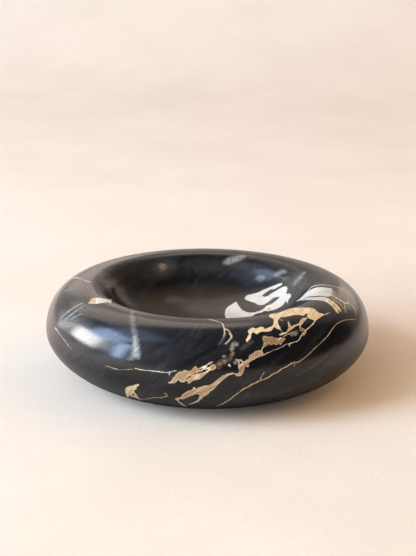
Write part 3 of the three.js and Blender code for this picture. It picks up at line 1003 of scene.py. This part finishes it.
def drawSeenVeins():
    for field, patches, strokes in (("goldEdge", goldPatches, goldStrokes),
                                    ("whiteEdge", whitePatches, whiteStrokes)):
        for vein in patches.values():
            path = chartedPixels(vein["outline"], vein.get("inWell", False))
            drawVein(field, path, pale=vein.get("pale", strokePales[field]))
        for points in strokes.values():
            drawVein(field, *traced(points), strokePales[field])
    for channel, pale, half, points in hairs.values():
        drawHair(channel, *traced(points, half, hairThinning), pale)
    for outline in goldHoles.values():
        drawVein("goldEdge", chartedPixels(outline), hole=True)
    for field, slits in (("goldEdge", goldSlits), ("whiteEdge", whiteSlits)):
        for points in slits.values():
            drawVein(field, *traced(points), hole=True)
    for strength, softness, outline in mistAndSheenPatches.values():
        drawSoft("mistShare", chartedPixels(outline), None, strength, softness)
    for strength, softness, points in mistAndSheenStrokes.values():
        drawSoft("mistShare", *traced(points), strength, softness)
    for points in murks.values():
        drawSoft("murkShare", *traced(points), 1.0, murkSoftness)
    for tint in goldTints.values():
        tintSpot(*tint)


# Veins on the sides that the picture doesn't show: ends as angle in degrees and section in millimetres
backVeins = {
    "rightRun": {"kind": "hairA", "half": 0.42, "pale": 0.3, "seed": 3,
                 "ends": [(12, 58), (24, 48), (38, 24)]},
    "backRibbon": {"kind": "goldEdge", "half": 1.5, "pale": 0.3, "seed": 11,
                   "ends": [(42, 20), (70, 46), (104, 72)]},
    "backBranch": {"kind": "goldEdge", "half": 0.8, "pale": 0.4, "seed": 5,
                   "ends": [(72, 48), (66, 30), (70, 8)]},
    "backLumps": {"kind": "goldEdge", "half": 2.2, "pale": 0.5, "seed": 23,
                  "ends": [(86, 58), (97, 48), (112, 44)]},
    "backHair": {"kind": "hairA", "half": 0.4, "pale": 0.4, "seed": 7,
                 "ends": [(104, 72), (134, 58), (166, 24)]},
    "backThread": {"kind": "hairB", "half": 0.36, "pale": 0.8, "seed": 13,
                   "ends": [(112, 44), (126, 30), (150, 14)]},
    "leftThread": {"kind": "hairA", "half": 0.36, "pale": 0.9, "seed": 17,
                   "ends": [(164, 60), (158, 40), (146, 10)]},
    "rightThread": {"kind": "hairB", "half": 0.36, "pale": 0.9, "seed": 19,
                    "ends": [(8, 50), (2, 36), (10, 16)]},
    "backCalcite": {"kind": "whiteEdge", "half": 1.0, "seed": 29,
                    "ends": [(18, 78), (30, 68), (48, 63)]},
    "backCalciteFork": {"kind": "whiteEdge", "half": 0.7, "seed": 37,
                        "ends": [(30, 68), (40, 72), (58, 73)]},
    "backHaze": {"kind": "mistShare", "half": 2.2, "seed": 41,
                 "ends": [(20, 77), (32, 68), (46, 66)]},
    "backMist": {"kind": "mistShare", "half": 1.6, "seed": 31,
                 "ends": [(128, 74), (136, 58), (140, 36)]},
}
backSway, backHalvings = 0.17, 4
backWidths = {"least": 0.35, "spread": 1.1, "ends": 0.2}        # shares of a vein's half width
backMistStrength, backMistSoftness = 0.7, 0.8


def wander(ends, seed):
    # a path that strays from the straight line between its ends by halving it again and again
    dice = random.Random(seed)
    girth = stoneRadius * perMetre
    points = [np.array((math.radians(angle) * girth, section)) for angle, section in ends]
    for halving in range(backHalvings):
        grown = []
        for first, second in zip(points, points[1:]):
            across = np.array((first[1] - second[1], second[0] - first[0]))
            grown += [first, (first + second) / 2 + across * dice.uniform(-backSway, backSway)]
        points = grown + [points[-1]]
    widths = [backWidths["least"] + backWidths["spread"] * dice.random() for point in points]
    widths[0] = widths[-1] = backWidths["ends"]
    return np.array([(point[0] / girth, point[1]) for point in points]), np.array(widths)


def drawBackVeins():
    for vein in backVeins.values():
        path, widths = wander(vein["ends"], vein["seed"])
        halves = widths * vein["half"]
        if vein["kind"].startswith("hair"):
            drawHair(vein["kind"][-1], path, halves, vein["pale"])
        elif vein["kind"] == "mistShare":
            drawSoft("mistShare", path, halves, backMistStrength, backMistSoftness)
        else:
            drawVein(vein["kind"], path, halves, vein.get("pale", strokePales[vein["kind"]]))


# Faces that the edge of a vein crosses are split, and all corners laid on the true section
refining = {"reach": 0.75, "cuts": 2, "onSkin": 1e-4, "offBase": 1e-5}


def splitNearVeins(mesh):
    fields = skin["fields"]
    gaps = [np.abs(fields["goldEdge"]), np.abs(fields["whiteEdge"])]
    gaps += [np.abs(np.abs(fields["hairSide" + channel]) - fields["hairHalf" + channel])
             for channel in hairChannels]
    close = np.minimum.reduce(gaps) < refining["reach"]
    shell = bmesh.new()
    shell.from_mesh(mesh)
    chosen = [face for face in shell.faces
              if len(face.verts) == 4 and any(close[corner.index] for corner in face.verts)]
    edges = list(dict.fromkeys(edge for face in chosen for edge in face.edges))
    bmesh.ops.subdivide_edges(shell, edges=edges, cuts=refining["cuts"], use_grid_fill=True)
    shell.to_mesh(mesh)
    shell.free()
    points = corners(mesh)
    row, radius, height, gap = onSection(points)
    turned = (gap < refining["onSkin"]) & (radius > refining["onSkin"])
    points[turned, :2] *= (radius[turned] / np.hypot(*points[turned, :2].T))[:, None]
    points[turned, 2] = height[turned]
    mesh.vertices.foreach_set("co", points.astype(np.float32).ravel())
    mesh.update()
    triangles = sum(len(face.vertices) - 2 for face in mesh.polygons)
    print("stage: stone refined,", len(chosen), "faces split,", triangles, "triangles")


def smoothShading(mesh):
    # the turned skin is shaded by the slope of its section, whatever the size of its faces
    points = corners(mesh)
    row, radius, height, gap = onSection(points)
    slope = [np.interp(row, np.arange(len(sectionSlope)), sectionSlope[:, axis]) for axis in (0, 1)]
    angle = np.arctan2(points[:, 1], points[:, 0])
    outward = np.c_[slope[1] * np.cos(angle), slope[1] * np.sin(angle), -slope[0]]
    turned = gap < refining["onSkin"]
    normals = np.zeros((len(mesh.loops), 3))
    for face in mesh.polygons:
        held = list(face.vertices)
        if turned[held].all() and points[held, 2].max() > undersideHeight + refining["offBase"]:
            normals[list(face.loop_indices)] = outward[held]
    mesh.normals_split_custom_set(normals.tolist())


dustStart, dustSpan = 7.0, 16.0         # millimetres down the dish to the first dust, and on to full dust


def storeFields(mesh):
    # the well is dusty from its wall to the middle
    dustRun = np.clip((skin["section"] - wallSection - dustStart) / dustSpan, 0, 1)
    skin["fields"]["dustShare"] = eased(dustRun)
    skin["fields"]["sectionRun"] = skin["section"]
    for name, values in skin["fields"].items():
        stored = mesh.attributes.new(name, "FLOAT", "POINT")
        stored.data.foreach_set("value", values.astype(np.float32))


drawSeenVeins()
drawBackVeins()
splitNearVeins(stone.data)
chartSkin(stone.data)
drawSeenVeins()
drawBackVeins()
storeFields(stone.data)
smoothShading(stone.data)
print("stage: veins drawn,", len(goldPatches) + len(whitePatches), "patches and", len(hairs), "hairlines")


# The marble's colours and polish
marbleTones = {
    "black": (0.0044, 0.0046, 0.0056, 1), "slate": (0.0130, 0.0138, 0.0166, 1),
    # the second tone on the next line is a painted sheen for the wall of the well
    "ash": (0.060, 0.058, 0.057, 1), "paintedWallSheen": (0.040, 0.037, 0.035, 1), "dust": (0.040, 0.029, 0.021, 1),
    "mist": (0.48, 0.45, 0.43, 1), "mistShade": (0.37, 0.345, 0.325, 1), "mistBrown": (0.40, 0.30, 0.235, 1),
    "murk": (0.46, 0.32, 0.18, 1), "crevice": (0.07, 0.048, 0.028, 1),
    "ochre": (0.26, 0.152, 0.062, 1), "gold": (0.90, 0.66, 0.42, 1), "cream": (0.92, 0.83, 0.72, 1),
    "rust": (0.34, 0.17, 0.055, 1), "white": (0.61, 0.552, 0.508, 1), "whiteShade": (0.49, 0.45, 0.42, 1),
}
marbleNoise = {
    "bedding": (1.0, 5.0, 0.62, 0.8), "streak": (1.0, 3.0, 0.6, 0.6), "drift": (95.0, 4.0, 0.62, 0.6),
    "fleck": (1000.0, 3.0, 0.6), "coarse": (620.0, 4.0, 0.6), "fine": (1800.0, 3.0, 0.6),
    "pit": (3400.0, 2.0, 0.5), "turning": (1.0, 3.0, 0.6),
}
marbleSizes = {
    "bedding": (14.0, 14.0, 105.0), "streak": (130.0, 130.0, 900.0),    # how often they change in a metre
    "beddingTilt": 34.0, "turningAcross": 1.4, "turningAlong": 14.0,
    "raggedReach": 1.35, "raggedFineReach": 1.25,               # millimetres that an edge strays
    "hairStray": 0.40, "whiteStray": 0.6,                       # share of it for hairs and for white
    "speckShare": 0.8, "turningRough": 0.10, "veinRough": 0.12,
    "veinRelief": -0.5, "pitRelief": 0.25, "turningRelief": 0.22, "bump": (0.18, 0.00008),
}
crestRun, wallRun = float(crestSection), float(wallSection)
marbleRanges = {
    # the first range on the next line darkens the ground towards the base as painted shade
    "paintedBaseShade": (4.0, 36.0, 0.45, 1.0), "layer": (0.42, 0.70), "wisp": (0.42, 0.66, 0.0, 0.36),
    "speck": (0.68, 0.76), "speckDrift": (0.45, 0.60), "dust": (0.25, 0.75, 0.7, 1.0),
    # the next two lines place and vary the painted sheen on the wall of the well
    "paintedSheenIn": (crestRun + 5.0, wallRun), "paintedSheenOut": (wallRun + 10.0, wallRun - 2.0),
    "paintedWallSheen": (0.3, 0.7, 0.25, 0.75),
    "mistFleck": (0.33, 0.62), "mistBreak": (-0.14, 0.12, 0.5, 1.08),
    "murkBreak": (-0.06, 0.06, 0.15, 1.0), "murkTone": (-0.08, 0.10),
    "ochreToGold": (-0.05, 0.85), "goldToCream": (0.70, 1.0), "creamToGrey": (1.05, 1.25),
    "hairWidth": (0.3, 0.7, 0.4, 1.5), "hairEdge": (0.12, -0.10), "hairFade": (0.30, 0.58, 0.45, 1.0),
    "whiteEdge": (0.22, -0.20), "whiteTone": (0.40, 0.54), "goldEdge": (0.11, -0.10),
    "heart": (0.56, 0.40), "heartDepth": (-0.1, -0.9, 0.25, 0.75), "heartPale": (0.30, 0.70, 1.0, 0.45),
    "goldStreak": (0.58, 0.70, 0.0, 0.6), "creamEdge": (-0.45, -0.08), "creamBreak": (-0.10, 0.10, 0.1, 0.6),
    "rustBreak": (-0.16, 0.04), "rough": (0.3, 0.7, 0.36, 0.44), "pitDepth": (0.34, 0.42),
    "polishUp": (24.0, 60.0, 0.02, 0.68), "polishLip": (crestRun, crestRun + 9.0, 1.0, 0.36),
    "polishWell": (wallRun, wallRun + 10.0, 1.0, 1.25), "polishCloud": (0.36, 0.64, 0.87, 1.12),
}
# a middle value, the distance from it where nothing is left, and the strength
marbleBands = {"wisp": (0.56, 0.020, 1.0), "whiteBedding": (0.50, 0.03, 0.45), "crack": (0.0, 0.014, 0.5)}
marblePolish = {"IOR": 1.15, "Specular IOR Level": 0.012, "Coat Roughness": 0.20, "Coat IOR": 1.5}


def dressMarble(tree, shader, place):
    def field(name):
        return addNode(tree, "ShaderNodeAttribute", attribute_name=name).outputs["Fac"]

    def noise(name, at=place):
        return grain(tree, at, *marbleNoise[name])

    def ranged(name, value):
        return rescale(tree, value, *marbleRanges[name])

    def band(name, value):
        middle, width, strength = marbleBands[name]
        gap = calc(tree, "ABSOLUTE", calc(tree, "SUBTRACT", value, middle))
        return rescale(tree, gap, width, 0.0, 0.0, strength)

    def toned(share, under, name):
        return blendColour(tree, share, under, marbleTones[name])

    tilt = math.radians(marbleSizes["beddingTilt"])
    leaning = made(tree, "ShaderNodeVectorRotate", {"Vector": place, "Angle": tilt}, rotation_type="Y_AXIS")

    def layered(name):
        drawn = {0: leaning, 1: marbleSizes[name]}
        return noise(name, made(tree, "ShaderNodeVectorMath", drawn, operation="MULTIPLY"))

    bedding, streak = layered("bedding"), layered("streak")
    drift, fleck, pit = noise("drift"), noise("fleck"), noise("pit")
    coarse, fine = (calc(tree, "SUBTRACT", noise(name), 0.5) for name in ("coarse", "fine"))
    ragged = calc(tree, "MULTIPLY_ADD", coarse, marbleSizes["raggedReach"],
                  times(tree, fine, marbleSizes["raggedFineReach"]))
    # faint rings that the turning left
    run = field("sectionRun")
    flat = addNode(tree, "ShaderNodeSeparateXYZ", {0: place}).outputs
    rings = made(tree, "ShaderNodeCombineXYZ", {
        "X": times(tree, flat["X"], marbleSizes["turningAlong"]),
        "Y": times(tree, flat["Y"], marbleSizes["turningAlong"]),
        "Z": times(tree, run, marbleSizes["turningAcross"])})
    turning = noise("turning", rings)

    # dark ground in leaning layers, darker towards the base as painted shade, with pale specks, dusty in the
    # well
    layer = times(tree, ranged("layer", bedding), ranged("paintedBaseShade", run))
    colour = toned(layer, marbleTones["black"], "slate")
    colour = toned(times(tree, band("wisp", bedding), ranged("wisp", drift)), colour, "ash")
    speck = times(tree, ranged("speck", pit), ranged("speckDrift", drift))
    colour = toned(times(tree, speck, marbleSizes["speckShare"]), colour, "ash")
    dustShare = field("dustShare")
    colour = toned(times(tree, dustShare, ranged("dust", drift)), colour, "dust")

    # the wall of the well is lighter below the lip, a painted sheen
    wallSheenShare = times(tree, ranged("paintedSheenIn", run), ranged("paintedSheenOut", run))
    colour = toned(times(tree, wallSheenShare, ranged("paintedWallSheen", drift)), colour, "paintedWallSheen")

    # grey mist, with painted sheen and glow, and brown mottling
    pale, rust = field("paleShare"), field("rustShare")
    mistTone = toned(ranged("mistFleck", fleck), marbleTones["mistShade"], "mist")
    mistTone = toned(rust, mistTone, "mistBrown")
    mistShare = times(tree, field("mistShare"), ranged("mistBreak", calc(tree, "ADD", coarse, fine)))
    colour = blendColour(tree, mistShare, colour, mistTone)
    murkTone = toned(ranged("murkTone", fine), marbleTones["crevice"], "murk")
    murkShare = times(tree, field("murkShare"), ranged("murkBreak", coarse))
    colour = blendColour(tree, murkShare, colour, murkTone)

    # hairlines, gold to cream and grey
    veinTone = toned(ranged("ochreToGold", pale), marbleTones["ochre"], "gold")
    veinTone = toned(ranged("goldToCream", pale), veinTone, "cream")
    veinTone = toned(ranged("creamToGrey", pale), veinTone, "mist")
    hairShares = []
    for channel in hairChannels:
        stray = calc(tree, "MULTIPLY_ADD", ragged, marbleSizes["hairStray"], field("hairSide" + channel))
        width = times(tree, field("hairHalf" + channel), ranged("hairWidth", fleck))
        hairShares.append(ranged("hairEdge", calc(tree, "SUBTRACT", calc(tree, "ABSOLUTE", stray), width)))
    hairShare = times(tree, greatest(tree, *hairShares), ranged("hairFade", drift))
    colour = blendColour(tree, hairShare, colour, veinTone)

    # white calcite, a little grey in streaks
    whiteStray = calc(tree, "MULTIPLY_ADD", ragged, marbleSizes["whiteStray"], field("whiteEdge"))
    whiteShare = ranged("whiteEdge", whiteStray)
    whiteTone = toned(ranged("whiteTone", average(tree, fleck, drift)), marbleTones["whiteShade"], "white")
    whiteTone = toned(band("whiteBedding", bedding), whiteTone, "whiteShade")
    colour = blendColour(tree, whiteShare, colour, whiteTone)

    # gold with ochre hearts, cream edges and fine dark cracks
    goldStray = calc(tree, "ADD", field("goldEdge"), ragged)
    goldShare = ranged("goldEdge", goldStray)
    heart = times(tree, ranged("heart", streak), ranged("heartDepth", goldStray))
    goldTone = toned(times(tree, heart, ranged("heartPale", pale)), veinTone, "ochre")
    goldTone = toned(ranged("goldStreak", streak), goldTone, "cream")
    creamEdge = times(tree, ranged("creamEdge", goldStray), ranged("creamBreak", coarse))
    goldTone = toned(creamEdge, goldTone, "cream")
    goldTone = toned(times(tree, rust, ranged("rustBreak", fine)), goldTone, "rust")
    goldTone = toned(band("crack", coarse), goldTone, "crevice")
    colour = blendColour(tree, goldShare, colour, goldTone)
    feed(tree, shader.inputs["Base Color"], colour)

    # polish: a clear coat over a hazier ground, duller on the veins and in the dusty well
    veinShare = greatest(tree, goldShare, whiteShare, hairShare)
    rough = calc(tree, "MULTIPLY_ADD", turning, marbleSizes["turningRough"], ranged("rough", drift))
    dull = greatest(tree, veinShare, dustShare)
    rough = calc(tree, "MULTIPLY_ADD", dull, marbleSizes["veinRough"], rough)
    feed(tree, shader.inputs["Roughness"], rough)
    polish = ranged("polishCloud", average(tree, turning, fleck))
    for name in ("polishUp", "polishLip", "polishWell"):
        polish = times(tree, polish, ranged(name, run))
    feed(tree, shader.inputs["Coat Weight"], polish)
    setSockets(shader, marblePolish)
    relief = calc(tree, "MULTIPLY_ADD", veinShare, marbleSizes["veinRelief"],
                  times(tree, ranged("pitDepth", pit), marbleSizes["pitRelief"]))
    relief = calc(tree, "MULTIPLY_ADD", turning, marbleSizes["turningRelief"], relief)
    addBump(tree, shader, relief, *marbleSizes["bump"])


dressMarble(marbleTree, marbleShader, marblePlace)
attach(stone, "root")
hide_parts("marble_bowl")
print("stage: marble dressed")


# Felt feet: soft round pads with a rounded edge and a slightly uneven face
felt = {
    "fullness": 8.0, "rows": 30, "columns": 96, "napDepth": 0.00008, "napScale": 900.0, "napDetail": 3.0,
    "sharpAngle": 80.0, "seamDistance": 2e-6,
    "wool": (0.030, 0.031, 0.027, 1), "lint": (0.085, 0.083, 0.072, 1),
    "tangle": (2600.0, 4.0, 0.7, 1.5), "tuft": (600.0, 3.0, 0.6),
    "lintRange": (0.45, 0.75), "tuftRange": (0.3, 0.7, 0.3, 1.0), "roughRange": (0.3, 0.7, 0.86, 0.98),
    "sheen": {"Sheen Weight": 0.3, "Sheen Roughness": 0.5}, "bump": (0.6, 0.0002),
}


def padTree(turnedCurve):
    tree, given = newTree(
        "feltPad", "Pad", Int=["Rows", "Columns", "Seed"], Vector=["Centre"], Material=["Felt"],
        Float=["Radius", "Half Thickness", "Middle Height", "Fullness", "Nap Depth", "Nap Scale"])
    halves = []
    for way in (-1.0, 1.0):
        halves.append(made(tree, "GeometryNodeGroup", {
            "Centre Radius": 0.0, "Centre Height": given["Middle Height"], "Radial Reach": given["Radius"],
            "Vertical Reach": times(tree, given["Half Thickness"], way), "Fullness": given["Fullness"],
            "First Angle": 0.0, "Rows": given["Rows"], "Columns": given["Columns"],
            "Crowding": 0.0, "Crowding Angle": 0.0}, node_tree=turnedCurve))
    pad = made(tree, "GeometryNodeMergeByDistance", {
        "Geometry": joined(tree, *halves), "Distance": felt["seamDistance"]})
    pad = made(tree, "GeometryNodeTransform", {"Geometry": pad, "Translation": given["Centre"]})
    # the nap only sinks in, so the pad keeps to its own space
    nap = addNode(tree, "ShaderNodeTexNoise", {
        "W": given["Seed"], "Scale": given["Nap Scale"], "Detail": felt["napDetail"]}, noise_dimensions="4D")
    depth = times(tree, nap.outputs["Fac"], given["Nap Depth"])
    lean = made(tree, "ShaderNodeCombineXYZ", {
        "Z": calc(tree, "SIGN", calc(tree, "SUBTRACT", given["Middle Height"], placeOf(tree)["Z"]))})
    offset = made(tree, "ShaderNodeVectorMath", {0: lean, "Scale": depth}, operation="SCALE")
    pad = made(tree, "GeometryNodeSetPosition", {"Geometry": pad, "Offset": offset})
    addNode(tree, "NodeGroupOutput", {"Pad": finished(tree, pad, given["Felt"], felt["seamDistance"])})
    return tree


def dressFelt():
    material, tree, shader, place = newMaterial("woolFelt")
    tangle = grain(tree, place, *felt["tangle"])
    tuft = grain(tree, place, *felt["tuft"])
    share = times(tree, rescale(tree, tangle, *felt["lintRange"]), rescale(tree, tuft, *felt["tuftRange"]))
    feed(tree, shader.inputs["Base Color"], blendColour(tree, share, felt["wool"], felt["lint"]))
    feed(tree, shader.inputs["Roughness"], rescale(tree, tuft, *felt["roughRange"]))
    setSockets(shader, felt["sheen"])
    addBump(tree, shader, tangle, *felt["bump"])
    return material


def makeFeet():
    wool = dressFelt()
    tree = padTree(bpy.data.node_groups["turnedCurve"])
    for seed, name in enumerate(footNames):
        low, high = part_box(name)
        foot = addObject(name + "_pad", bpy.data.meshes.new(name + "_pad"))
        mesh = settle(foot, tree, {
            "Radius": (high.x - low.x) / 2, "Half Thickness": (high.z - low.z) / 2,
            "Middle Height": (low.z + high.z) / 2, "Fullness": felt["fullness"],
            "Nap Depth": felt["napDepth"], "Nap Scale": felt["napScale"],
            "Rows": felt["rows"], "Columns": felt["columns"], "Seed": seed + 1,
            "Centre": ((low.x + high.x) / 2, (low.y + high.y) / 2, 0.0), "Felt": wool})
        openEdges = sealed(mesh, felt["sharpAngle"])
        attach(foot, "root")
        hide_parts(name)
        print("stage: felt pad", name, len(mesh.polygons), "faces,", openEdges, "open edges")


# Adhesive films keep their own solids and get a clear, slightly yellowed look
film = {
    "clear": (0.72, 0.67, 0.54, 1), "aged": (0.60, 0.52, 0.36, 1),
    "blotch": (260.0, 3.0), "bubble": (1500.0, 2.0), "bump": (0.2, 0.00005),
    "agedRange": (0.35, 0.65), "roughRange": (0.3, 0.7, 0.28, 0.5),
}


def dressFilms():
    material, tree, shader, place = newMaterial("agedAdhesive")
    blotch = rescale(tree, grain(tree, place, *film["blotch"]), *film["agedRange"])
    bubble = grain(tree, place, *film["bubble"])
    feed(tree, shader.inputs["Base Color"], blendColour(tree, blotch, film["clear"], film["aged"]))
    feed(tree, shader.inputs["Roughness"], rescale(tree, bubble, *film["roughRange"]))
    addBump(tree, shader, bubble, *film["bump"])
    for name in filmNames:
        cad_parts[name].material_slots[0].material = material
    print("stage: films dressed,", len(filmNames))


makeFeet()
dressFilms()
